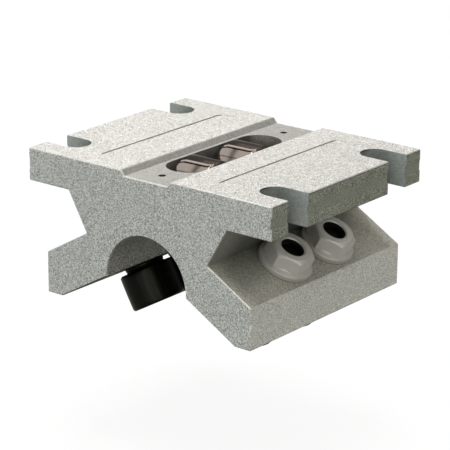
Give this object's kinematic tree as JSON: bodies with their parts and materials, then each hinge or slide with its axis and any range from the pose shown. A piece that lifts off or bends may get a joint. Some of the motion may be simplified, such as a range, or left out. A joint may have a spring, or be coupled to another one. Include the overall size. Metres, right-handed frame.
{
  "type": "linear pillow block bearing",
  "caption": "Open X-shaped pillow block with rollers spaced evenly round a shaft and slotted flanges for bolting it up.",
  "frame": {"origin": "on the shaft axis at mid-length", "axes": "+Y along the shaft, +X across the two flanges, +Z from the shaft towards the mounting face"},
  "size_m": [0.1016, 0.0818, 0.06],
  "materials": {
    "housing_alloy": "satin",
    "black_roller": "polished black oxide",
    "top_roller_steel": "polished",
    "stud_steel": "black oxide",
    "nut_zinc": "zinc plated"
  },
  "bodies": {
    "block": {"housing": "housing_alloy", "studs": "stud_steel", "nuts": "nut_zinc", "top_axles": "stud_steel"},
    "ring_left_front": {"roller_left_front": "black_roller"},
    "ring_left_back": {"roller_left_back": "black_roller"},
    "ring_right_front": {"roller_right_front": "black_roller"},
    "ring_right_back": {"roller_right_back": "black_roller"},
    "ring_top_front": {"top_roller_front": "top_roller_steel"},
    "ring_top_back": {"top_roller_back": "top_roller_steel"}
  },
  "joints": [
    {"name": "roller_spin_left_front", "type": "hinge", "parent": "block", "child": "ring_left_front", "pos_m": [-0.022, -0.0114, -0.0127], "axis": [-0.5, 0, 0.866], "continuous": true},
    {"name": "roller_spin_left_back", "type": "hinge", "parent": "block", "child": "ring_left_back", "pos_m": [-0.022, 0.0114, -0.0127], "axis": [-0.5, 0, 0.866], "continuous": true},
    {"name": "roller_spin_right_front", "type": "hinge", "parent": "block", "child": "ring_right_front", "pos_m": [0.022, -0.0114, -0.0127], "axis": [0.5, 0, 0.866], "continuous": true},
    {"name": "roller_spin_right_back", "type": "hinge", "parent": "block", "child": "ring_right_back", "pos_m": [0.022, 0.0114, -0.0127], "axis": [0.5, 0, 0.866], "continuous": true},
    {"name": "roller_spin_top_front", "type": "hinge", "parent": "block", "child": "ring_top_front", "pos_m": [0, -0.0114, 0.02618], "axis": [1, 0, 0], "continuous": true},
    {"name": "roller_spin_top_back", "type": "hinge", "parent": "block", "child": "ring_top_back", "pos_m": [0, 0.0114, 0.02618], "axis": [1, 0, 0], "continuous": true}
  ]
}
